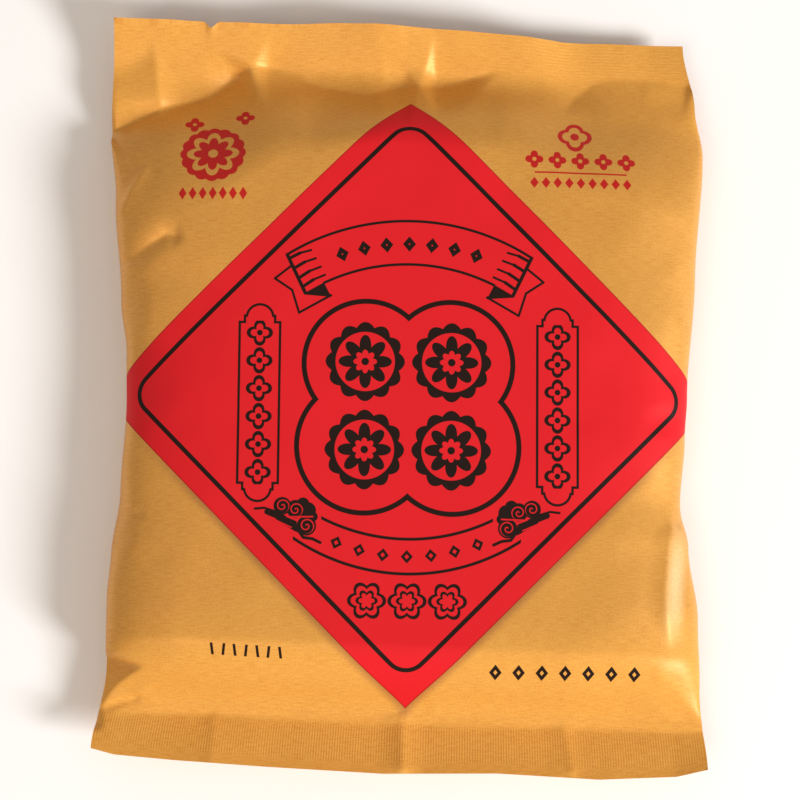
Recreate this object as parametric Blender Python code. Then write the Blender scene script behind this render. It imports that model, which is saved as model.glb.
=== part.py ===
"""Sealed film pack of mooncakes, lying on its back: one closed solid out to the film.

The film is a tube, closed by a crimped seal at each end. The cakes fill its lower two
thirds, so the pack is thick there, waisted at its sides and flat underneath, and it
runs down to the two seals, which stand clear of the surface that the pack lies on.
X runs across the pack, +Y to its top seal and +Z out of its printed face.
"""

import math

import bmesh
import bpy

# Driving dimensions, in metres.
LENGTH = 0.243  # from one sealed edge to the other, along the middle
THICKNESS = 0.0275  # at the middle of the filled part
FOLD_HEIGHT = 0.0125  # of the side folds above the resting face
TOP_SEAL = 0.0125
BOTTOM_SEAL = 0.0125
SEAL_THICKNESS = 0.0006
SKEW = 0.021  # how far the two ends lean, per metre across
CENTRING = 0.0021  # brings the middle of the outline to the origin

# Where the film leaves its full thickness, measured from each seal's inner edge. The
# slope to the top seal is given at places across the pack, left fold first.
TOP_SLOPE = (
    (-0.100, 0.062),
    (-0.075, 0.056),
    (-0.035, 0.036),
    (-0.005, 0.028),
    (0.030, 0.026),
    (0.100, 0.030),
)
BOTTOM_SLOPE = 0.024
REST_SLOPE = 0.7  # the back's slopes, as a share of the front's
REST_SPREAD = 1.12  # how much the back would bulge below the surface that flattens it

# The end seals curl up toward their free edges, and the top one also ripples.
SEAL_HEIGHT = 0.0090
BOTTOM_CURL = 0.0055
TOP_CURL_START = 1.7  # inside the top edge, in widths of its seal
TOP_CURL_RUN = 3.0
TOP_CURL_SHARE = 0.58
TOP_LIFT = (
    (-0.100, 0.0085),
    (-0.084, 0.0080),
    (-0.070, 0.0065),
    (-0.056, 0.0070),
    (-0.038, 0.0050),
    (-0.010, 0.0080),
    (0.012, 0.0055),
    (0.036, 0.0045),
    (0.062, 0.0010),
    (0.082, 0.0005),
    (0.100, 0.0010),
)

# How far the two sealed edges stand out past their straight line, left fold first.
TOP_EDGE = (
    (-0.100, -0.0007),
    (-0.050, -0.0004),
    (-0.025, 0.0006),
    (0.020, -0.0003),
    (0.052, -0.0019),
    (0.092, -0.0010),
)
BOTTOM_EDGE = (
    (-0.100, 0.0000),
    (-0.073, 0.0030),
    (-0.043, 0.0041),
    (-0.005, 0.0050),
    (0.032, 0.0036),
    (0.065, 0.0044),
    (0.100, 0.0000),
)
EDGE_RUN = 0.019  # how far in from the edge the film is drawn out with it

# The tear notch in the top edge: its place across, as a share of the fold's distance.
NOTCH_ACROSS = -0.671
NOTCH_HALF = 0.0235
NOTCH_DEEP = 0.0023

# (place along the pack, distance of the fold from the middle), bottom edge first.
LEFT_FOLD = (
    (-0.1215, 0.0995),
    (-0.0960, 0.0958),
    (-0.0730, 0.0960),
    (-0.0580, 0.0950),
    (-0.0380, 0.0926),
    (-0.0100, 0.0913),
    (0.0080, 0.0918),
    (0.0260, 0.0942),
    (0.0600, 0.0969),
    (0.0850, 0.0994),
    (0.1215, 0.0988),
)
RIGHT_FOLD = (
    (-0.1215, 0.1000),
    (-0.0960, 0.0977),
    (-0.0730, 0.0970),
    (-0.0500, 0.0939),
    (-0.0360, 0.0912),
    (-0.0140, 0.0927),
    (0.0000, 0.0935),
    (0.0400, 0.0962),
    (0.0820, 0.0989),
    (0.0980, 0.0964),
    (0.1215, 0.0925),
)

# How square the filled cross-section is, and how much rounder it gets at the ends.
SQUARE_POWER = 4.6
ROUND_POWER = 3.0

COLUMNS = 40
ROWS = 52

PAPER_GOLD = (0.74, 0.36, 0.085, 1.0)
PAPER_ROUGHNESS = 0.45


def smooth_step(share):
    """0 below 0, 1 above 1 and a smooth ramp between."""
    share = min(1.0, max(0.0, share))
    return share * share * (3.0 - 2.0 * share)


def eased(stations, place):
    """A value that eases from one station to the next at a place along a line."""
    for (low, near), (high, far) in zip(stations, stations[1:]):
        if place <= high:
            return near + (far - near) * smooth_step((place - low) / (high - low))
    return stations[-1][1]


def fill(x, along, slope_share):
    """How full the pack is at a place: 0 at the seals, 1 over the cakes."""
    from_bottom = along + LENGTH / 2 - BOTTOM_SEAL
    from_top = LENGTH / 2 - TOP_SEAL - along
    return smooth_step(from_bottom / (BOTTOM_SLOPE * slope_share)) * smooth_step(
        from_top / (eased(TOP_SLOPE, x) * slope_share)
    )


def seal_height(x, along):
    """Height of the middle of the film where its two layers are sealed."""
    past_bottom = -(along + LENGTH / 2 - BOTTOM_SEAL) / BOTTOM_SEAL
    past_top = (along - LENGTH / 2 + TOP_CURL_START * TOP_SEAL) / (TOP_CURL_RUN * TOP_SEAL)
    lift = eased(TOP_LIFT, x) * smooth_step(past_top) / TOP_CURL_SHARE
    return SEAL_HEIGHT + BOTTOM_CURL * max(0.0, past_bottom) + lift


def film_point(across, along, side):
    """A point of the film. across runs from -1 to 1 between the folds, side is 1 for
    the printed front and -1 for the back."""
    stations = LEFT_FOLD if across < 0 else RIGHT_FOLD
    x = across * eased(stations, along)
    full = fill(x, along, 1.0 if side > 0 else REST_SLOPE)
    power = ROUND_POWER + (SQUARE_POWER - ROUND_POWER) * full
    crown = math.sqrt(max(0.0, 1.0 - abs(across) ** power))
    fold = seal_height(x, along)
    fold += (FOLD_HEIGHT - fold) * fill(x, along, 1.0)
    reach = THICKNESS - fold if side > 0 else fold * REST_SPREAD
    z = fold + side * (reach * full * crown)
    gap = SEAL_THICKNESS / 2 * (1.0 - full * crown)
    y = along + CENTRING - SKEW * x
    y += eased(TOP_EDGE, x) * smooth_step((along - LENGTH / 2 + EDGE_RUN) / EDGE_RUN)
    y -= eased(BOTTOM_EDGE, x) * smooth_step((EDGE_RUN - along - LENGTH / 2) / EDGE_RUN)
    if along > LENGTH / 2 - 1e-6:
        y -= NOTCH_DEEP * max(0.0, 1.0 - abs(across - NOTCH_ACROSS) / NOTCH_HALF)
    return x, y, max(0.0, z + side * gap)


def column_places():
    """Places across the pack of the grid's columns: closer together near the folds,
    with three of them at the notch."""
    plain = COLUMNS - 2
    places = [math.sin((-1 + 2 * i / plain) * math.pi / 2) for i in range(plain + 1)]
    places.remove(min(places, key=lambda place: abs(place - NOTCH_ACROSS)))
    for step in (-1, 0, 1):
        places.append(NOTCH_ACROSS + step * NOTCH_HALF)
    return sorted(places)


def pack_solid(name):
    """A flat box cut into a grid, each of whose points is then moved onto the film."""
    bm = bmesh.new()
    bmesh.ops.create_cube(bm, size=2.0)
    for axis, pieces in ((0, COLUMNS), (1, ROWS)):
        edges = [e for e in bm.edges if abs((e.verts[0].co - e.verts[1].co)[axis]) > 1.0]
        bmesh.ops.subdivide_edges(bm, edges=edges, cuts=pieces - 1, use_grid_fill=True)
    places = column_places()
    for vert in bm.verts:
        column = round((vert.co.x + 1.0) / 2.0 * COLUMNS)
        vert.co = film_point(places[column], vert.co.y * LENGTH / 2, vert.co.z)
    bmesh.ops.recalc_face_normals(bm, faces=bm.faces)
    mesh = bpy.data.meshes.new(name)
    bm.to_mesh(mesh)
    bm.free()
    return mesh


def paper_film():
    material = bpy.data.materials.new("paper_film")
    material.use_nodes = True
    shader = material.node_tree.nodes["Principled BSDF"]
    shader.inputs["Base Color"].default_value = PAPER_GOLD
    shader.inputs["Roughness"].default_value = PAPER_ROUGHNESS
    shader.inputs["Metallic"].default_value = 0.0
    return material


def build():
    for obj in list(bpy.data.objects):
        bpy.data.objects.remove(obj)
    collection = bpy.data.collections.new("mooncake_pack")
    bpy.context.scene.collection.children.link(collection)
    pack = bpy.data.objects.new("pack", pack_solid("pack"))
    pack.data.materials.append(paper_film())
    pack.data.shade_smooth()
    collection.objects.link(pack)


build()
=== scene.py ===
"""A sealed film pack of mooncakes, seen from above, lying on its back.

The film is one closed skin: a fine grid for the printed front and one for the back,
welded along the side folds and the sealed ends. It is shaped by numbers in
millimetres, and the print is worked out in the material from where each spot lies on
the flat film.
"""
import math

import bpy
import numpy as np
from mathutils import Matrix, Vector, noise


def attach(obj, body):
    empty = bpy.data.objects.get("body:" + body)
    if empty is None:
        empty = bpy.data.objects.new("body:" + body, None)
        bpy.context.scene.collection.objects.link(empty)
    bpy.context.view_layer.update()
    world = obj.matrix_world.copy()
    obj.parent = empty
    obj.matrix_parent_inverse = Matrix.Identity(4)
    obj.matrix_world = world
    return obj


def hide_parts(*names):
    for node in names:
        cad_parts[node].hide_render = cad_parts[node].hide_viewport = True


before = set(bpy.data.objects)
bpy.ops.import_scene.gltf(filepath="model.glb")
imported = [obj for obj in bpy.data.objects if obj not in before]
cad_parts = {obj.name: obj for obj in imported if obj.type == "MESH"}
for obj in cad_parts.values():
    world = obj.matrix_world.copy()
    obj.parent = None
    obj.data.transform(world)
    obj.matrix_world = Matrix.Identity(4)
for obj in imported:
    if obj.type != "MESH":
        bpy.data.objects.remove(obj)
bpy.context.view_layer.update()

MM = 0.001

# The pack's outline, in millimetres: X across, Y up to the top seal, Z out of the front.
LENGTH = 243.0
THICKNESS = 27.5
FOLD_HEIGHT = 12.5
TOP_SEAL = 12.5
BOTTOM_SEAL = 12.5
LAYER_GAP = 0.30
SKEW = 0.021
CENTRING = 2.1  # brings the middle of the outline to the origin
# How long the slope down to the top seal is, at places across the pack.
TOP_SLOPE = (
    (-100, 62.0),
    (-75, 56.0),
    (-35, 36.0),
    (-5, 30.0),
    (30, 32.0),
    (60, 46.0),
    (100, 52.0),
)
BOTTOM_SLOPE = 24.0
REST_SLOPE = 0.7
REST_SPREAD = 1.12
SEAL_HEIGHT = 9.0
BOTTOM_CURL = 5.5

# How far the top seal's free edge rises or droops, at places across the pack.
TOP_LIFT = (
    (-100, 8.5),
    (-84, 8.0),
    (-70, 6.5),
    (-56, 7.0),
    (-38, 5.0),
    (-10, 8.0),
    (12, 5.5),
    (36, 4.5),
    (62, -0.5),
    (82, -1.2),
    (100, -0.8),
)
SQUARE_POWER = 4.6
ROUND_POWER = 3.0
FILM_WRAP = 0.3  # how much of the film that goes down the slopes shifts the print

# How far the two sealed edges stand out, at places across the pack.
TOP_EDGE = (
    (-100, -0.7),
    (-50, -0.4),
    (-25, 0.6),
    (0, 0.1),
    (20, -0.3),
    (38, -1.1),
    (52, -1.9),
    (65, -1.4),
    (92, -1.0),
)
BOTTOM_EDGE = (
    (-100, 0.0),
    (-92, 1.9),
    (-73, 3.0),
    (-43, 4.1),
    (-5, 5.0),
    (32, 3.6),
    (65, 4.4),
    (90, 2.6),
    (100, 0.0),
)
# The seam down the back, folded flat to one side.
FIN_LEFT = -1.2
FIN_RIGHT = 7.4
FIN_ROOM = 0.5
FIN_COLUMNS = 12
FIN_THICKNESS = 0.2

NOTCH_X = -66.3
NOTCH_HALF = 2.3
NOTCH_DEEP = 2.3

# (place along the pack, distance of the fold from the middle), bottom edge first.
LEFT_FOLD = (
    (-121.5, 99.5),
    (-96.0, 95.8),
    (-73.0, 96.0),
    (-58.0, 95.0),
    (-38.0, 92.6),
    (-10.0, 91.3),
    (8.0, 91.8),
    (26.0, 94.2),
    (60.0, 96.9),
    (85.0, 99.4),
    (121.5, 98.8),
)
RIGHT_FOLD = (
    (-121.5, 100.0),
    (-96.0, 97.7),
    (-73.0, 97.0),
    (-50.0, 93.9),
    (-36.0, 91.2),
    (-14.0, 92.7),
    (0.0, 93.5),
    (40.0, 96.2),
    (82.0, 98.9),
    (98.0, 96.4),
    (121.5, 92.5),
)
# The camera stands over the pack, a little toward its bottom seal.
DISTANCE = 0.90
ELEVATION = 82.0
ROLL = 0.85
FIELD = 0.264  # how wide the view is at that distance
AIM = (-0.0012, -0.0041, 0.012)
SEEN_DEPTH = 900.0
SEEN_X = -2.18
SEEN_Y = 2.45

COLUMNS = 196
ROWS = 240


def smooth(share):
    """0 below 0, 1 above 1 and a smooth ramp between."""
    share = np.clip(share, 0.0, 1.0)
    return share * share * (3.0 - 2.0 * share)


def eased(stations, along):
    """A value that eases from one station to the next at places along a line."""
    out = np.full_like(along, stations[-1][1])
    for (low, near), (high, far) in reversed(list(zip(stations, stations[1:]))):
        share = smooth((along - low) / (high - low))
        out = np.where(along <= high, near + (far - near) * share, out)
    return out


def fill(x, along, slope_share):
    """How full the pack is at a place: 0 at the seals, 1 over the cakes."""
    from_bottom = along + LENGTH / 2 - BOTTOM_SEAL
    from_top = LENGTH / 2 - TOP_SEAL - along
    return smooth(from_bottom / (BOTTOM_SLOPE * slope_share)) * smooth(
        from_top / (eased(TOP_SLOPE, x) * slope_share)
    )


def seal_height(x, along):
    """Height of the middle of the film where its two layers are sealed."""
    past_bottom = np.clip(-(along + LENGTH / 2 - BOTTOM_SEAL) / BOTTOM_SEAL, 0.0, 1.0)
    past_top = smooth((along - LENGTH / 2 + 1.7 * TOP_SEAL) / (3.0 * TOP_SEAL)) / 0.58
    lift = eased(TOP_LIFT, x)
    return SEAL_HEIGHT + BOTTOM_CURL * past_bottom + lift * past_top


def pillow(across, along, side):
    """Points of the film before its creases. across runs from -1 to 1 between the
    folds, and side is 1 for the printed front and -1 for the back."""
    left = eased(LEFT_FOLD, along)
    right = eased(RIGHT_FOLD, along)
    x = across * np.where(across < 0, left, right)
    full = fill(x, along, 1.0 if side > 0 else REST_SLOPE)
    power = ROUND_POWER + (SQUARE_POWER - ROUND_POWER) * full
    crown = np.sqrt(np.maximum(0.0, 1.0 - np.abs(across) ** power))
    fold = seal_height(x, along)
    fold = fold + (FOLD_HEIGHT - fold) * fill(x, along, 1.0)
    reach = THICKNESS - fold if side > 0 else fold * REST_SPREAD
    z = fold + side * (reach * full * crown)
    gap = LAYER_GAP / 2 * (1.0 - full * crown)
    return np.stack([x, along - SKEW * x, np.maximum(0.0, z + side * gap)], axis=-1)


def film_rows():
    """Places along the pack of the grid's rows, evenly spaced over the film itself."""
    fine = np.linspace(-LENGTH / 2, LENGTH / 2, 4001)
    middle = pillow(np.zeros_like(fine), fine, 1)
    step = np.linalg.norm(np.diff(middle, axis=0), axis=1)
    run = np.concatenate([[0.0], np.cumsum(step)])
    even = np.linspace(0.0, run[-1], ROWS + 1)
    return np.interp(even, run, fine), fine, run - np.interp(0.0, fine, run)


def film_side(side):
    """The film's front or back: its points, and where they lie on the flat film."""
    along, fine_along, fine_run = film_rows()
    fine = np.sin(np.linspace(-math.pi / 2, math.pi / 2, 801))
    places = np.zeros((ROWS + 1, COLUMNS + 1, 3))
    flat = np.zeros((ROWS + 1, COLUMNS + 1, 2))
    for row, y in enumerate(along):
        cut = pillow(fine, np.full_like(fine, y), side)
        run = np.concatenate(
            [[0.0], np.cumsum(np.linalg.norm(np.diff(cut, axis=0), axis=1))]
        )
        even = np.linspace(0.0, run[-1], COLUMNS + 1)
        across = np.interp(even, run, fine)
        places[row] = pillow(across, np.full_like(across, y), side)
        arc = even - np.interp(0.0, fine, run)
        plan = places[row, :, 0]
        flat[row, :, 0] = plan + (arc - plan) * FILM_WRAP
        plan = places[row, :, 1]
        wrap = np.where(plan > 0, 1.0, FILM_WRAP)
        flat[row, :, 1] = plan + (np.interp(plan, fine_along, fine_run) - plan) * wrap
    return places, flat


def seen(places):
    """Where points appear from straight over the pack's lower part, in millimetres on
    a plane level with its front. The creases below are given there."""
    tilt = math.radians(ELEVATION)
    back = np.array([0.0, -math.cos(tilt), math.sin(tilt)])
    up = np.array([0.0, math.sin(tilt), math.cos(tilt)])
    offset = places - (np.array(AIM) / MM + back * DISTANCE / MM)
    depth = -(offset @ back)
    scale = SEEN_DEPTH / depth
    return offset[..., 0] * scale + SEEN_X, (offset @ up) * scale + SEEN_Y


def crease(x, y, line, height, left, right, start, end):
    """A sharp ridge, or a valley where height is below 0, along a line. It fades out
    over `left` to the left of the line's direction and `right` to its right, and over
    `start` and `end` along the line."""
    best = np.full_like(x, 1e9)
    reach = np.zeros_like(x)
    total = sum(math.dist(a, b) for a, b in zip(line, line[1:]))
    run = 0.0
    for (ax, ay), (bx, by) in zip(line, line[1:]):
        size = math.dist((ax, ay), (bx, by))
        tx, ty = (bx - ax) / size, (by - ay) / size
        along = np.clip((x - ax) * tx + (y - ay) * ty, 0.0, size)
        dx, dy = x - ax - along * tx, y - ay - along * ty
        away = np.hypot(dx, dy)
        place = run + along
        fade = smooth(place / start) * smooth((total - place) / end)
        wide = np.where(tx * dy - ty * dx > 0, left, right) * (0.08 + 0.92 * fade)
        here = height * np.clip(1.0 - away / wide, 0.0, 1.0) ** 2 * fade
        nearer = away < best
        reach = np.where(nearer, here, reach)
        best = np.minimum(best, away)
        run += size
    return reach


def dent(x, y, cx, cy, wide, tall, depth, turn=0.0):
    """A soft hollow, or a swelling where depth is below 0."""
    c, s = math.cos(math.radians(turn)), math.sin(math.radians(turn))
    dx, dy = (x - cx) * c + (y - cy) * s, (y - cy) * c - (x - cx) * s
    away = np.hypot(dx / wide, dy / tall)
    return -depth * smooth(1.0 - away)


def tuck(x, y, z, corners, heights, lip):
    """A flat three-cornered facet, pressed in: how far down the film goes to meet the
    plane through its corners, with a short lip past the side from the first corner to
    the second. The corners run the way a clock's hand turns."""
    (ax, ay), (bx, by), (cx, cy) = corners
    area = (bx - ax) * (cy - ay) - (cx - ax) * (by - ay)
    first = ((bx - x) * (cy - y) - (cx - x) * (by - y)) / area
    second = ((cx - x) * (ay - y) - (ax - x) * (cy - y)) / area
    plane = heights[0] * first + heights[1] * second
    plane = plane + heights[2] * (1.0 - first - second)
    side = math.dist((ax, ay), (bx, by))
    past = ((x - ax) * (by - ay) - (y - ay) * (bx - ax)) / side
    kept = np.clip(1.0 - np.maximum(-past, 0.0) / lip, 0.0, 1.0) ** 2
    near = smooth((bx + 4.0 - x) / 4.0) * smooth((y - cy + 6.0) / 4.0)
    return -np.maximum(0.0, z - plane) * kept * near


# Each crease: the points of its line, its height, how wide it is to the left and to the
# right of the line's direction, and how long it takes to rise and to fade away.
TOP_CREASES = (
    # The valley under the left of the seal, and the ridge that runs up from it.
    (
        ((-101, 89), (-91, 94.5), (-83, 98), (-72, 101), (-66, 103), (-60, 107), (-52, 113)),
        -5.2, 13, 14, 2, 8,
    ),
    (((-83.5, 94), (-83.5, 104), (-85, 122)), 1.9, 13, 9, 7, 14),
    # The hump in the middle.
    (
        ((-54, 112), (-44, 112), (-36, 108), (-28, 105.5), (-14, 103.5), (-6, 105.5), (3, 106.5)),
        -2.6, 12, 15, 8, 6,
    ),
    (((-56, 102), (-55, 114), (-56, 130)), 0.5, 16, 16, 10, 6),
    (((-10, 98), (-10, 114), (-13, 130)), 0.8, 20, 14, 10, 6),
    # The leaf-shaped hollow to its right.
    (((2, 106.3), (10, 106.5), (20, 109), (27, 110.8), (31, 112)), -3.8, 20, 12, 7, 20),
    # The two edges of the back seam, which press through the seal.
    (((-1.2, 104), (-1.6, 130)), -0.18, 2.2, 2.2, 6, 2),
    (((7.2, 106), (7.6, 130)), -0.12, 2.2, 2.2, 6, 2),
    # The hollow at the right.
    (((50, 97), (54, 103), (60, 108), (66, 109.5), (78, 109.5), (94, 107)), -1.7, 22, 13, 8, 3),
)
SIDE_CREASES = (
    (((-99, 44), (-90, 48.5), (-85, 52.5), (-80, 55.8), (-73, 54.5)), -1.5, 8, 6, 3, 5),
    (((-97, 60), (-92, 70), (-86, 80)), 0.8, 3, 5, 3, 4),
    (((-96, -35.5), (-85, -37)), -0.8, 3, 3, 3, 3),
    (((-98, -46), (-88, -43)), -0.6, 3, 4, 3, 3),
    # The tight edge at the lower right, and the fold from the corner under it.
    (((88.5, -34), (86.5, -60), (88.5, -82)), 1.2, 5, 7, 8, 16),
    (((92.5, -34), (88, -40)), -1.0, 4, 5, 1, 4),
    (((79, -83), (90, -92), (101, -105)), 0.45, 7, 5, 8, 2),
)
BOTTOM_CREASES = (
    # Under the tucked corner at the left.
    (((-77, -90), (-87, -95), (-101, -102)), 0.5, 3, 4, 10, 2),
    (((-101, -102), (-91, -97.5), (-85, -96.5)), -1.2, 2.5, 3, 1, 3),
    # Where the body meets the bottom seal.
    (
        (
            (-101, -102), (-90, -101), (-75, -100), (-62, -100), (-40, -101), (-25, -102.5),
            (-6, -103.5), (0, -101.2), (12, -103.5), (25, -104), (50, -102.5), (75, -103.5),
            (99, -104.5),
        ),
        0.55, 2.2, 1.4, 2, 2,
    ),
    # The waves of the seal itself.
    (((0, -100), (0.5, -122)), 1.3, 9, 9, 3, 3),
    (((53, -102), (57, -122)), 0.7, 6, 9, 3, 3),
    (((-62, -101), (-63, -122)), 0.5, 10, 6, 3, 3),
)
CREASES = TOP_CREASES + SIDE_CREASES + BOTTOM_CREASES

# Each tuck: its three corners, their heights, and how wide its lip is.
TUCKS = ((((-101, -83), (-78, -90), (-101, -102.5)), (4.5, 25.0, 8.5), 2.5),)

# Each hollow: its middle, its reach across and along, its depth and its turn in degrees.
DENTS = (
    (88, 102, 12, 8, 1.0, 0),
    (-93, 33, 9, 15, 1.6, 0),
    (-97, -38, 9, 22, 1.6, 0),
    (86, -3, 10, 7, 0.8, 10),
    (94, 38, 7, 16, 1.2, 0),
    (-30, 95, 22, 9, 1.0, 0),
    (-40, -96, 26, 6, 0.5, 0),
    (30, -97, 22, 5, 0.5, 0),
)


def edge_offset(x, stations):
    return np.interp(x, [p[0] for p in stations], [p[1] for p in stations])


def trimmed(places):
    """Draws the two sealed edges out and in, and cuts the tear notch."""
    out = places.copy()
    x, y = places[..., 0], places[..., 1]
    level = y + SKEW * x
    top = smooth((level - 92.0) / 29.5)
    bottom = smooth((-level - 103.0) / 18.5)
    out[..., 1] += edge_offset(x, TOP_EDGE) * top
    out[..., 1] -= edge_offset(x, BOTTOM_EDGE) * bottom
    cut = np.clip(1.0 - np.abs(x - NOTCH_X) / NOTCH_HALF, 0.0, 1.0) * NOTCH_DEEP
    out[..., 1] -= cut * np.clip((level - 115.0) / 6.5, 0.0, 1.0)
    return out


def crease_push(places):
    """How far the creases push each point of the film out."""
    x, y = seen(places)
    push = np.zeros_like(x)
    for line, height, left, right, start, end in CREASES:
        push += crease(x, y, line, height, left, right, start, end)
    for cx, cy, wide, tall, depth, turn in DENTS:
        push += dent(x, y, cx, cy, wide, tall, depth, turn)
    rough = np.zeros_like(x)
    for row in range(x.shape[0]):
        for column in range(x.shape[1]):
            spot = Vector((x[row, column], y[row, column], 0.0))
            wave = noise.noise(spot / 22.0) * 0.55 + noise.noise(spot / 9.0) * 0.10
            rough[row, column] = wave
    edge = smooth(np.abs(x) / 90.0) + smooth((y - 40.0) / 50.0)
    push += rough * (0.35 + 0.9 * np.clip(edge, 0.0, 1.0))
    for corners, heights, lip in TUCKS:
        push += tuck(x, y, places[..., 2] + push, corners, heights, lip)
    return push


def film_shape():
    """Front and back points of the finished film, and where they lie on it flat."""
    front, front_flat = film_side(1)
    back, back_flat = film_side(-1)
    front, back = trimmed(front), trimmed(back)
    push = crease_push(front)
    moved = np.stack([np.zeros_like(push), np.zeros_like(push), push], axis=-1)
    gap = np.linalg.norm(front - back, axis=2)
    together = np.clip(1.0 - gap / 9.0, 0.0, 1.0)[..., None]
    front = front + moved
    back = back + moved * together
    for edge in (np.s_[0, :], np.s_[-1, :], np.s_[:, 0], np.s_[:, -1]):
        back[edge] = front[edge]
    back[..., 2] = np.maximum(back[..., 2], 0.0)
    x = back[..., 0]
    band = smooth((x - FIN_LEFT + 3.0) / 2.5) * smooth((FIN_RIGHT + 3.0 - x) / 2.5)
    back[..., 2] += FIN_ROOM * band * (1.0 - together[..., 0])
    front[..., 1] += CENTRING
    back[..., 1] += CENTRING
    return front, front_flat, back, back_flat


def fin_shape(back):
    """Points of the fin seam that runs down the back, one row for each of the film's."""
    out = np.zeros((ROWS + 1, FIN_COLUMNS + 1, 3))
    share = np.linspace(0.0, 1.0, FIN_COLUMNS + 1)
    for row in range(ROWS + 1):
        run = back[row]
        wave = noise.noise(Vector((row / 30.0, 7.0, 0.0))) * 0.5
        x = FIN_LEFT + (FIN_RIGHT - FIN_LEFT + wave) * share
        out[row, :, 0] = x
        out[row, :, 1] = np.interp(x, run[:, 0], run[:, 1])
        height = np.interp(x, run[:, 0], run[:, 2])
        out[row, :, 2] = np.maximum(0.12, height - 0.28 * smooth(share * 4.0) - 0.06)
    return out


def grid_piece(name, places):
    """A flat grid of the film's own make-up, moved onto the given places."""
    bpy.ops.object.select_all(action="DESELECT")
    bpy.ops.mesh.primitive_grid_add(
        x_subdivisions=COLUMNS, y_subdivisions=ROWS, size=1.0, location=(0, 0, 0)
    )
    piece = bpy.context.object
    piece.name = name
    piece.data.vertices.foreach_set("co", (places * MM).astype(np.float32).ravel())
    piece.data.update()
    return piece


def film_uv(piece, flat, name):
    """Writes where each corner lies on the flat film, in metres, to a map."""
    mesh = piece.data
    layer = mesh.uv_layers.new(name=name)
    loops = np.zeros(len(mesh.loops), np.int32)
    mesh.loops.foreach_get("vertex_index", loops)
    uv = flat.reshape(-1, 2)[loops] * MM
    layer.data.foreach_set("uv", uv.astype(np.float32).ravel())


def end_places():
    """How far along the pack and across it each point of the grid is."""
    along = film_rows()[0]
    across = np.linspace(-100.0, 100.0, COLUMNS + 1)
    return np.stack(np.meshgrid(across, along), axis=-1)


places, flat, back_places, back_flat = film_shape()
front = grid_piece("film", places)
film_uv(front, flat, "film")
film_uv(front, end_places(), "ends")
back = grid_piece("back", back_places)
film_uv(back, back_flat + np.array([0.0, 1000.0]), "film")
film_uv(back, end_places(), "ends")
back.data.flip_normals()
bpy.ops.object.select_all(action="DESELECT")
back.select_set(True)
front.select_set(True)
bpy.context.view_layer.objects.active = front
bpy.ops.object.join()
bpy.ops.object.mode_set(mode="EDIT")
bpy.ops.mesh.select_all(action="SELECT")
bpy.ops.mesh.remove_doubles(threshold=0.00001)
bpy.ops.object.mode_set(mode="OBJECT")
film = front
bpy.ops.object.select_all(action="DESELECT")
film.select_set(True)
bpy.context.view_layer.objects.active = film
bpy.ops.object.shade_smooth_by_angle(angle=math.radians(60))

# The seam down the back.
bpy.ops.object.select_all(action="DESELECT")
bpy.ops.mesh.primitive_grid_add(
    x_subdivisions=FIN_COLUMNS, y_subdivisions=ROWS, size=1.0, location=(0, 0, 0)
)
fin = bpy.context.object
fin.name = "back_seam"
fin_places = fin_shape(back_places) * MM
fin.data.vertices.foreach_set("co", fin_places.astype(np.float32).ravel())
fin.data.update()
fin_flat = fin_places[..., :2] / MM + np.array([0.0, 1000.0])
film_uv(fin, fin_flat, "film")
film_uv(fin, np.stack([fin_places[..., 1] / MM, fin_places[..., 0] / MM * 0 - 110], axis=-1), "ends")
fin.data.flip_normals()
bpy.ops.object.modifier_add(type="SOLIDIFY")
fin.modifiers["Solidify"].thickness = FIN_THICKNESS * MM
fin.modifiers["Solidify"].offset = -1.0
bpy.ops.object.modifier_apply(modifier="Solidify")
bpy.ops.object.shade_smooth_by_angle(angle=math.radians(60))


# ---------------------------------------------------------------- materials
class Shade:
    """A number that varies over a piece, worked out by nodes of its material."""

    tree = None

    def __init__(self, socket):
        self.socket = socket

    @classmethod
    def node(cls, kind, settings=None, inputs=None):
        node = cls.tree.nodes.new(kind)
        for key, value in (settings or {}).items():
            setattr(node, key, value)
        for key, value in (inputs or {}).items():
            if isinstance(value, Shade):
                cls.tree.links.new(value.socket, node.inputs[key])
            else:
                node.inputs[key].default_value = value
        return node

    @classmethod
    def math(cls, operation, *values):
        settings = {"operation": operation}
        return cls(cls.node("ShaderNodeMath", settings, dict(enumerate(values))).outputs[0])

    def __add__(self, other):
        return Shade.math("ADD", self, other)

    __radd__ = __add__

    def __mul__(self, other):
        return Shade.math("MULTIPLY", self, other)

    __rmul__ = __mul__

    def __sub__(self, other):
        return Shade.math("SUBTRACT", self, other)

    def __rsub__(self, other):
        return Shade.math("SUBTRACT", other, self)

    def __truediv__(self, other):
        return Shade.math("DIVIDE", self, other)

    def __rtruediv__(self, other):
        return Shade.math("DIVIDE", other, self)

    def __neg__(self):
        return Shade.math("MULTIPLY", self, -1.0)

    def __abs__(self):
        return Shade.math("ABSOLUTE", self)


def root(value):
    return Shade.math("SQRT", value)


def lowest(first, *others):
    for other in others:
        first = Shade.math("MINIMUM", first, other)
    return first


def highest(first, *others):
    for other in others:
        first = Shade.math("MAXIMUM", first, other)
    return first


def mixed(share, first, second):
    """A colour between two, or one of them where the share is 0 or 1."""
    node = Shade.node(
        "ShaderNodeMix", {"data_type": "RGBA"}, {0: share, 6: first, 7: second}
    )
    return Shade(node.outputs[2])


def new_material(name):
    material = bpy.data.materials.new(name)
    material.use_nodes = True
    Shade.tree = material.node_tree
    return material, material.node_tree.nodes["Principled BSDF"]


EDGE = 0.09  # how soft an inked edge is, in millimetres


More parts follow.
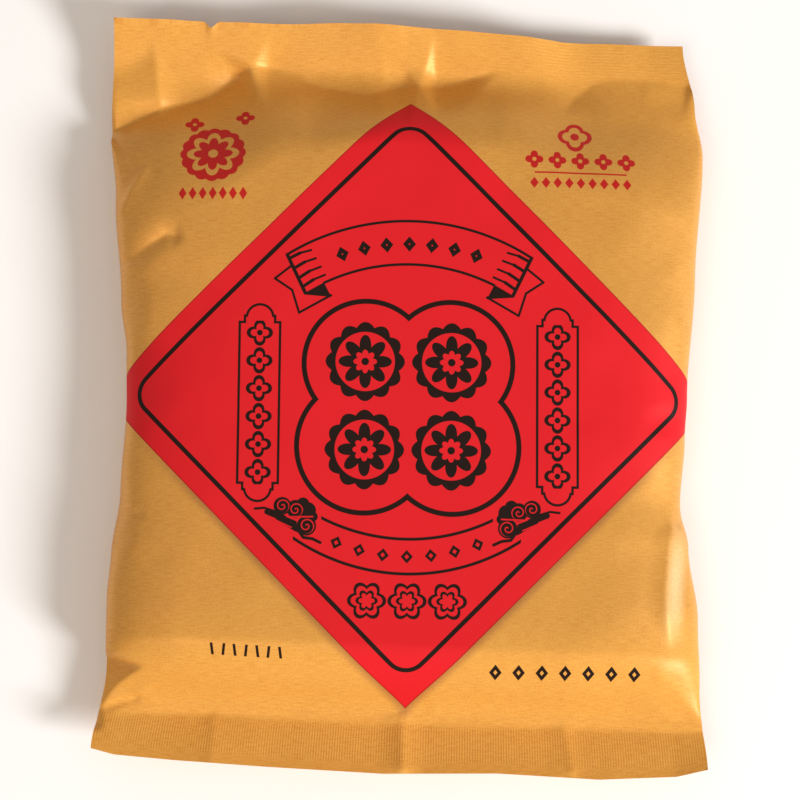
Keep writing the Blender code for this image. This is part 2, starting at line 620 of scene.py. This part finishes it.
def inked(distance, soft=EDGE):
    """1 inside a shape and 0 outside it, from the distance to its outline."""
    node = Shade.node(
        "ShaderNodeMapRange",
        {"interpolation_type": "SMOOTHSTEP"},
        {0: distance, 1: soft, 2: -soft, 3: 0.0, 4: 1.0},
    )
    return Shade(node.outputs[0])


def ramp(value, low, high):
    """0 below low, 1 above high and a smooth change between."""
    node = Shade.node(
        "ShaderNodeMapRange",
        {"interpolation_type": "SMOOTHSTEP"},
        {0: value, 1: low, 2: high, 3: 0.0, 4: 1.0},
    )
    return Shade(node.outputs[0])


def length(x, y):
    return root(Shade.math("MULTIPLY_ADD", x, x, y * y))


def circle(x, y, cx, cy, radius):
    """Distance to a circle's edge, below 0 inside it."""
    return length(x - cx, y - cy) - radius


def stroke(x, y, start, end, half):
    """Distance to a straight stroke with round ends."""
    run = (end[0] - start[0], end[1] - start[1])
    square = run[0] ** 2 + run[1] ** 2
    dx, dy = x - start[0], y - start[1]
    share = Shade.math("MULTIPLY_ADD", dx, run[0] / square, dy * (run[1] / square))
    share = Shade.math("MINIMUM", Shade.math("MAXIMUM", share, 0.0), 1.0)
    ex = Shade.math("MULTIPLY_ADD", share, -run[0], dx)
    ey = Shade.math("MULTIPLY_ADD", share, -run[1], dy)
    return length(ex, ey) - half


def strokes(x, y, points, half):
    """A line through several points."""
    parts = [stroke(x, y, a, b, half) for a, b in zip(points, points[1:])]
    return lowest(*parts)


def solid(x, y, corners):
    """Distance to a filled shape with straight sides that bulges out everywhere; its
    corners are given the way a clock's hand turns."""
    sides = []
    for (ax, ay), (bx, by) in zip(corners, corners[1:] + corners[:1]):
        run = math.hypot(bx - ax, by - ay)
        nx, ny = -(by - ay) / run, (bx - ax) / run
        sides.append(Shade.math("MULTIPLY_ADD", x, nx, y * ny - (ax * nx + ay * ny)))
    return highest(*sides)


def oblong(x, y, cx, cy, half_x, half_y):
    return highest(abs(x - cx) - half_x, abs(y - cy) - half_y)


def repeated(place, pitch):
    """A place along a row, measured from the nearest of evenly spaced centres."""
    return Shade.math("PINGPONG", place + pitch / 2, pitch) - pitch / 2


def spiral(x, y, pitch, half, reach):
    """Distance to a coiled line of that half width, out to a reach from its middle."""
    away = length(x, y)
    coil = away - Shade.math("ARCTAN2", y, x) * (pitch / math.tau)
    return highest(abs(repeated(coil, pitch)) - half, away - reach)


def lozenge(x, y, half_x, half_y):
    size = math.hypot(1 / half_x, 1 / half_y)
    return (abs(x) / half_x + abs(y) / half_y - 1.0) / size


def petals(x, y, count, mean, swing, turn=0.0):
    """Distance to a flower outline, roughly, with that many petals."""
    angle = Shade.math("ARCTAN2", y, x)
    wave = abs(Shade.math("COSINE", angle * (count / 2) + turn))
    return length(x, y) - (wave * swing + (mean - swing / 2))


def only(distance, limit):
    """The shape kept only where the limit is below 0."""
    return highest(distance, limit)


# ---------------------------------------------------------------- the print
# How the film's own millimetres compare with those that the print was drawn in.
PRINT_SCALE = 0.983
PRINT_SCALE_Y = 0.993
PRINT_X = 1.6
PRINT_Y = -8.5
PRINT_LEAN = 0.0055
PRINT_FOOT = -100.0
PRINT_MIDDLE = 0.4

GOLD = (0.775, 0.390, 0.080, 1.0)
GOLD_DEEP = (0.635, 0.275, 0.045, 1.0)
# A pale gold painted along the tight edge at the lower right, as a painted highlight.
PAINTED_HIGHLIGHT = (0.95, 0.70, 0.36, 1.0)
RED = (0.67, 0.011, 0.017, 1.0)
DARK_RED = (0.38, 0.004, 0.008, 1.0)
LOGO_RED = (0.56, 0.012, 0.008, 1.0)
SHADOW = (0.40, 0.165, 0.045, 1.0)
INK = (0.012, 0.004, 0.002, 1.0)

# The red square stands on its corner, with a rounded black border inside it.
HALF_SQUARE = 103.0
SQUARE_Y = 3.7
HALF_BORDER = 65.5
BORDER_Y = 3.9
BORDER_ROUND = 7.0
BORDER_LINE = 0.75

PLAQUE_X = 49.3
PLAQUE_Y = 0.9
BANNER_Y = -15.5  # the middle of the banner's arc
BANNER_RADIUS = 69.6
BAND_Y = 16.0
BAND_RADIUS = 65.0
ROSETTE_X = 14.3
ROSETTE_PITCH = 29.0
BLOOM_Y = -63.4
BLOOM_PITCH = 13.2
WEIGHT_X, WEIGHT_Y = 52.5, -86.2
DATE_X, DATE_Y = -51.8, -80.0
MEDAL_X, MEDAL_Y = -66.0, 84.8
MEDAL_WIDE = 1.12
SPRIG_X, SPRIG_Y = 56.0, 93.0
ROWS_X = 57.5


def border(x, y):
    first = (x + (y - BORDER_Y)) / math.sqrt(2)
    second = (x - (y - BORDER_Y)) / math.sqrt(2)
    straight = HALF_BORDER - BORDER_ROUND
    past_first = Shade.math("MAXIMUM", abs(first) - straight, 0.0)
    past_second = Shade.math("MAXIMUM", abs(second) - straight, 0.0)
    return abs(length(past_first, past_second) - BORDER_ROUND) - BORDER_LINE


def quatrefoil(x, y):
    lobes = lowest(circle(x, y, 13.9, 14.2, 20.6), circle(x, y, 14.6, -13.0, 22.0))
    return abs(lobes) - 0.85


def banner(x, y):
    """Two arcs over the middle, with hatched ends, folds and forked tails."""
    outer = only(abs(circle(x, y, 0.0, -14.2, 76.0)) - 0.45, highest(x - 40.4, -y))
    inner = only(abs(circle(x, y, 0.0, -16.7, 64.0)) - 0.45, highest(x - 28.6, -y))
    parts = [outer, inner, stroke(x, y, (40.6, 50.0), (34.5, 37.4), 0.6)]
    for start, end in (
        ((39.6, 48.9), (32.7, 51.6)),
        ((38.0, 45.6), (31.1, 48.9)),
        ((36.4, 42.4), (29.4, 46.1)),
        ((35.2, 39.4), (28.0, 43.4)),
    ):
        middle = ((start[0] + end[0]) / 2 + 0.2, (start[1] + end[1]) / 2 + 0.35)
        parts.append(stroke(x, y, start, middle, 0.55))
        parts.append(stroke(x, y, middle, end, 0.38))
    tail = ((39.3, 46.2), (44.6, 42.0), (38.8, 38.2), (36.4, 30.7), (26.0, 36.6))
    parts.append(solid(x, y, [(28.3, 40.9), (34.8, 37.2), (26.0, 36.5)]))
    parts.append(strokes(x, y, tail, 0.4))
    parts.append(stroke(x, y, (34.5, 37.2), (26.0, 36.6), 0.5))
    return lowest(*parts)


def plaque(x, y):
    """A tall plaque with lobed ends."""
    end = abs(y - PLAQUE_Y)
    outline = lowest(
        oblong(x, end, PLAQUE_X, 0.0, 6.7, 26.5),
        oblong(x, end, PLAQUE_X, 0.0, 5.0, 28.6),
        circle(x, end, PLAQUE_X, 28.0, 4.4),
    )
    return abs(outline) - 0.42


def cloud(x, y):
    """A scrolled cloud, with its coils left bare, and the wisps at its ends."""
    mass = lowest(
        circle(x, y, 41.0, -33.0, 2.9),
        circle(x, y, 36.6, -34.0, 3.0),
        circle(x, y, 32.6, -34.4, 2.7),
        circle(x, y, 34.2, -32.3, 2.1),
        circle(x, y, 31.0, -36.4, 1.7),
        circle(x, y, 33.0, -39.4, 3.2),
        stroke(x, y, (46.0, -35.0), (37.0, -38.6), 0.9),
        stroke(x, y, (42.0, -37.0), (36.0, -40.4), 1.1),
    )
    scroll = lowest(
        spiral(x - 41.0, y + 33.0, 1.5, 0.19, 2.3),
        spiral(x - 36.6, y + 34.2, 1.5, 0.19, 2.4),
        spiral(x - 33.0, y + 39.4, 1.6, 0.20, 2.6),
        stroke(x, y, (46.0, -36.4), (38.0, -40.0), 0.22),
        stroke(x, y, (38.6, -36.6), (31.0, -36.4), 0.25),
    )
    upper = ((50.0, -34.0), (47.0, -33.7), (44.0, -34.6), (40.0, -36.6))
    lower = ((35.6, -41.0), (34.0, -43.2), (31.0, -43.6), (28.4, -44.8))
    return lowest(
        highest(mass, -scroll), strokes(x, y, upper, 0.4), strokes(x, y, lower, 0.5)
    )


def band(x, y):
    """The two arcs under the middle."""
    inner = only(abs(circle(x, y, 0.0, 20.2, 63.5)) - 0.5, highest(x - 28.2, y))
    outer = only(abs(circle(x, y, 0.0, 13.3, 67.9)) - 0.5, highest(x - 37.4, y))
    return lowest(inner, outer)


def rosette(x, y):
    """The pattern pressed into a mooncake, one in each of the four lobes."""
    upper = Shade.math("GREATER_THAN", y, 0.1)
    dx = x - ROSETTE_X
    dy = y - (upper * ROSETTE_PITCH - 14.2)
    rim = only(petals(dx, dy, 12, 12.3, 1.6), -(length(dx, dy) - 9.8))
    inside = petals(dx, dy, 8, 6.9, 3.8)
    heart = petals(dx, dy, 8, 3.3, 1.2)
    return lowest(rim, only(inside, -heart), length(dx, dy) - 1.25)


def banner_row(across, y):
    """Lozenges along the banner."""
    up = y - BANNER_Y
    turn = Shade.math("ARCTAN2", across, up)
    row = repeated(turn * 70.0, 7.6)
    shape = lozenge(row, length(across, up) - BANNER_RADIUS, 2.3, 2.7)
    return only(abs(shape + 0.8) - 0.72, abs(turn) * 70.0 - 26.6)


def plaque_row(x, y):
    """Four-petal flowers down the plaques."""
    end = abs(y - PLAQUE_Y) - 27.0
    row = repeated(y - PLAQUE_Y + 4.6, 9.2)
    flower = petals(x - PLAQUE_X, row, 4, 2.9, 1.6)
    heart = length(x - PLAQUE_X, row) - 0.95
    return lowest(only(abs(flower) - 0.66, end), only(heart, end))


def band_row(across, y):
    """Lozenges along the lower band."""
    down = BAND_Y - y
    turn = Shade.math("ARCTAN2", across, down)
    row = repeated(turn * BAND_RADIUS, 7.9)
    shape = lozenge(row, length(across, down) - BAND_RADIUS, 2.2, 2.4)
    return only(abs(shape + 0.6) - 0.46, abs(turn) * BAND_RADIUS - 27.0)


def blooms(across, y):
    """Three small flowers under the band."""
    row = Shade.math("PINGPONG", across + BLOOM_PITCH / 2, BLOOM_PITCH) - BLOOM_PITCH / 2
    keep = abs(across) - 19.6
    outside = petals(row, y - BLOOM_Y, 6, 5.0, 1.6)
    inside = petals(row, y - BLOOM_Y, 6, 2.6, 1.1)
    return lowest(only(abs(outside) - 0.60, keep), only(abs(inside) - 0.50, keep))


def weight_row(gx, y):
    """Lozenges in the bottom right corner."""
    keep = abs(gx - WEIGHT_X) - 26.4
    row = only(lozenge(repeated(gx - WEIGHT_X, 7.6), y - WEIGHT_Y, 2.2, 2.9), keep)
    return only(abs(row + 0.65) - 0.56, keep)


def date_row(gx, y):
    """Stamped ticks in the bottom left corner, slanting a little."""
    dx, dy = gx - DATE_X, y - DATE_Y
    row = repeated(dx, 3.7) - dy * 0.12
    return only(oblong(row, dy + dx * 0.05, 0.0, 0.0, 0.45, 1.9), abs(dx) - 14.0)


def medal(gx, y):
    """The medallion at the top left, its two buds and the row under it."""
    dx, dy = (gx - MEDAL_X) / MEDAL_WIDE, y - MEDAL_Y
    edge = petals(dx, dy, 16, 9.7, 0.7)
    bloom = petals(dx, dy, 8, 5.9, 2.4)
    heart = only(petals(dx, dy, 8, 4.9, 2.2), -(length(dx, dy) - 1.5))
    parts = [only(edge, -(bloom - 0.9)), heart]
    row = lozenge(repeated(gx + 65.5, 3.4), y - 70.6, 1.35, 2.2)
    parts.append(only(row, abs(gx + 65.5) - 11.9))
    for bud_x, bud_y in ((-73.0, 96.9), (-55.6, 99.2)):
        bud = petals(gx - bud_x, y - bud_y, 4, 2.6, 1.4)
        parts.append(only(bud, -(length(gx - bud_x, y - bud_y) - 0.7)))
    return lowest(*parts)


def sprig(gx, y):
    """The flower at the top right, and the flowers, line and lozenges under it."""
    flower = petals(gx - SPRIG_X, y - SPRIG_Y, 4, 4.3, 1.5)
    parts = [abs(flower) - 0.8, length(gx - SPRIG_X, y - SPRIG_Y) - 1.5]
    dx = gx - ROWS_X
    row = repeated(dx, 7.8)
    bud = petals(row, y - 83.6, 4, 2.4, 1.3)
    parts.append(highest(bud, abs(dx) - 18.9, -(length(row, y - 83.6) - 0.7)))
    parts.append(only(abs(y - 79.1) - 0.28, abs(dx) - 15.5))
    row = lozenge(repeated(dx, 3.9), y - 75.6, 1.45, 1.9)
    parts.append(only(row, abs(dx) - 17.5))
    return lowest(*parts)


# ---------------------------------------------------------------- the film's finish
GOLD_ROUGHNESS = 0.40
INK_ROUGHNESS = 0.56
GOLD_METAL = 0.35
GOLD_COAT = 0.45
INK_COAT = 0.06
COAT_ROUGHNESS = 0.38
SPECULAR = 0.15

RIB_PITCH = 0.85
RIB_DEPTH = 0.027
RIB_EDGE = 2.7  # the bare strip between the ribs and the cut edge
HOOP_PITCH = 1.1
HOOP_DEPTH = 0.012
LINE_DEPTH = 0.010
GRAIN_DEPTH = 0.022


def uv_places(name):
    """A map of the film, and its two coordinates."""
    uv = Shade.node("ShaderNodeUVMap", {"uv_map": name})
    split = Shade.node("ShaderNodeSeparateXYZ")
    Shade.tree.links.new(uv.outputs[0], split.inputs[0])
    return uv, Shade(split.outputs[0]), Shade(split.outputs[1])


def noise_over(vector, scale):
    settings = {"noise_dimensions": "2D"}
    node = Shade.node("ShaderNodeTexNoise", settings, {"Scale": scale, "Detail": 2.0})
    Shade.tree.links.new(vector, node.inputs["Vector"])
    return Shade(node.outputs[0])


def square_shadow(x, y):
    """The shadow printed under the square's two lower sides."""
    below = (x - (y - SQUARE_Y) - HALF_SQUARE) / math.sqrt(2)
    share = (1.0 - ramp(below, -0.5, 3.4)) * 0.9
    return share * ramp(-y, 4.0, 34.0)


def painted_highlight_edge(gx, gy, grain):
    """Painted highlight: where the gold is painted paler, along the tight edge at the lower right,
    to stand for the sheen there.
    """
    share = 1.0 - ramp(stroke(gx, gy, (91.5, -34.0), (87.6, -76.0), 0.3), 0.0, 4.6)
    share = share * ramp(gy, -80.0, -58.0) * (1.0 - ramp(gy, -54.0, -32.0))
    return share * (0.40 + grain * 0.5)


def film_relief(lines, grain):
    """Height of the crimp ribs in the bottom seal, of the faint hoops in the top one,
    and of the film's own lines and grain, in millimetres."""
    end_x, end_y = (place * 1000.0 for place in uv_places("ends")[1:])
    cut = LENGTH / 2
    sealed = ramp(-end_y, cut - BOTTOM_SEAL, cut - BOTTOM_SEAL + 0.5)
    sealed = sealed * (1.0 - ramp(-end_y, cut - RIB_EDGE - 0.5, cut - RIB_EDGE))
    ribs = Shade.math("SINE", end_x * (math.tau / RIB_PITCH)) * sealed * RIB_DEPTH
    hoops = Shade.math("SINE", end_y * (math.tau / HOOP_PITCH)) * HOOP_DEPTH
    hoops = hoops * ramp(end_y, cut - TOP_SEAL, cut - TOP_SEAL + 0.6)
    return ribs + hoops + lines * LINE_DEPTH + grain * GRAIN_DEPTH


def film_material():
    material, shader = new_material("paper_film")
    uv, u, v = uv_places("film")
    gx = (u * 1000.0 - PRINT_X) / PRINT_SCALE
    gy = (v * 1000.0 - PRINT_Y) / PRINT_SCALE_Y
    gx = gx + (gy - PRINT_FOOT) * PRINT_LEAN
    across = gx - PRINT_MIDDLE
    x = abs(across)

    # The gold is drawn over the film in fine lines across the pack, with a little grain.
    stretch = Shade.node("ShaderNodeMapping", {}, {"Scale": (260.0, 3600.0, 1.0)})
    Shade.tree.links.new(uv.outputs[0], stretch.inputs["Vector"])
    lines = noise_over(stretch.outputs[0], 1.0)
    grain = noise_over(uv.outputs[0], 1500.0)
    worn = ramp(lines * 0.6 + grain * 0.4, 0.34, 0.62)
    gold = mixed(worn * 0.6 + 0.15, GOLD_DEEP, GOLD)
    # Painted highlight: the gold is painted paler along the tight edge at the lower right.
    gold = mixed(painted_highlight_edge(gx, gy, grain), gold, PAINTED_HIGHLIGHT)

    square = (x + abs(gy - SQUARE_Y) - HALF_SQUARE) / math.sqrt(2)
    colour = mixed(square_shadow(x, gy), gold, SHADOW)
    colour = mixed(inked(square), colour, DARK_RED)
    colour = mixed(inked(square + 0.35, 0.2), colour, RED)
    black = inked(
        lowest(
            border(x, gy),
            quatrefoil(x, gy),
            banner(x, gy),
            plaque(x, gy),
            cloud(x, gy),
            band(x, gy),
            rosette(x, gy),
            banner_row(across, gy),
            plaque_row(x, gy),
            band_row(across, gy),
            blooms(gx - 0.6, gy),
            weight_row(gx, gy),
            date_row(gx, gy),
        )
    )
    colour = mixed(black, colour, INK)
    colour = mixed(inked(lowest(medal(gx, gy), sprig(gx, gy))), colour, LOGO_RED)

    # The print is matt, and the film is duller toward its pressed ends.
    printed = Shade.math("MAXIMUM", inked(square), black)
    matt = 1.0 - highest(ramp(gy, 90.0, 106.0) * 0.75, ramp(-gy, 62.0, 84.0) * 0.9)
    rough = GOLD_ROUGHNESS + printed * (INK_ROUGHNESS - GOLD_ROUGHNESS)
    metal = matt * (GOLD_METAL - printed * GOLD_METAL)
    coat = (GOLD_COAT - printed * (GOLD_COAT - INK_COAT)) * matt
    for name, value in (
        ("Base Color", colour),
        ("Roughness", rough),
        ("Metallic", metal),
        ("Coat Weight", coat),
    ):
        Shade.tree.links.new(value.socket, shader.inputs[name])
    shader.inputs["Coat Roughness"].default_value = COAT_ROUGHNESS
    shader.inputs["Specular IOR Level"].default_value = SPECULAR

    bump = Shade.node(
        "ShaderNodeBump",
        {},
        {"Height": film_relief(lines, grain), "Strength": 1.0, "Distance": MM},
    )
    Shade.tree.links.new(bump.outputs[0], shader.inputs["Normal"])
    return material


paper_film = film_material()
for piece in (film, fin):
    piece.data.materials.clear()
    piece.data.materials.append(paper_film)
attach(film, "root")
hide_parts("pack")
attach(fin, "root")
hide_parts("pack")

# ---------------------------------------------------------------- floor, light, camera
bpy.ops.object.select_all(action="DESELECT")
bpy.ops.mesh.primitive_plane_add(size=6.0, location=(0, 0, -0.0003))
floor = bpy.context.object
floor.name = "floor"
pale, floor_shader = new_material("floor")
floor_shader.inputs["Base Color"].default_value = (0.93, 0.93, 0.93, 1)
floor_shader.inputs["Roughness"].default_value = 0.9
floor.data.materials.append(pale)

bpy.context.scene.view_settings.view_transform = "Standard"
world = bpy.data.worlds.new("studio")
bpy.context.scene.world = world
world.use_nodes = True
world.node_tree.nodes["Background"].inputs["Color"].default_value = (1.0, 0.92, 0.86, 1)
world.node_tree.nodes["Background"].inputs["Strength"].default_value = 0.42


def lamp(name, place, size, power, colour=(1, 1, 1)):
    data = bpy.data.lights.new(name, "AREA")
    data.shape = "DISK"
    data.size = size
    data.energy = power
    data.color = colour
    lit = bpy.data.objects.new(name, data)
    lit.location = place
    direction = -Vector(place)
    lit.rotation_mode = "QUATERNION"
    lit.rotation_quaternion = direction.to_track_quat("-Z", "Y")
    bpy.context.scene.collection.objects.link(lit)
    return lit


lamp("key", (2.58, -1.42, 1.66), 1.1, 130.0)
lamp("fill", (-0.9, -1.3, 2.4), 1.6, 18.0, (1.0, 0.80, 0.60))

camera_data = bpy.data.cameras.new("camera")
camera = bpy.data.objects.new("camera", camera_data)
bpy.context.scene.collection.objects.link(camera)
bpy.context.scene.camera = camera
camera_data.sensor_width = 36.0
camera_data.lens = 36.0 * DISTANCE / FIELD
camera_data.clip_end = 20.0
tilt = math.radians(ELEVATION)
back_off = Vector((0, -math.cos(tilt), math.sin(tilt)))
camera.location = Vector(AIM) + Vector((0, CENTRING * MM, 0)) + back_off * DISTANCE
turn = (-back_off).to_track_quat("-Z", "Y").to_matrix().to_4x4()
spin = Matrix.Rotation(math.radians(ROLL), 4, "Z")
camera.rotation_mode = "QUATERNION"
camera.rotation_quaternion = (turn @ spin).to_quaternion()
